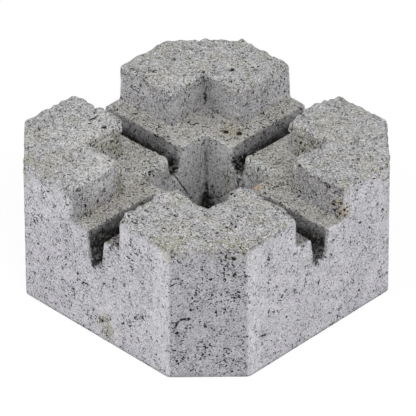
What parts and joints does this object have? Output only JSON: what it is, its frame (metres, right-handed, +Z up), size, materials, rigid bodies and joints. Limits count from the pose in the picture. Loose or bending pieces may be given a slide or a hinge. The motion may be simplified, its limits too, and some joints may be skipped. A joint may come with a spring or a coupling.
{
  "type": "concrete deck pier block",
  "caption": "Square cast concrete deck block with cut corners; crossed stepped slots on top seat beams, and a square socket takes a post.",
  "frame": {"origin": "middle of the underside, on the axis of the square socket", "axes": "+Z up; the two beam slots run along X and along Y"},
  "size_m": [0.305, 0.305, 0.152],
  "materials": {
    "concrete": "rough dry-cast grey concrete"
  },
  "bodies": {
    "root": {"block": "concrete"}
  },
  "joints": []
}
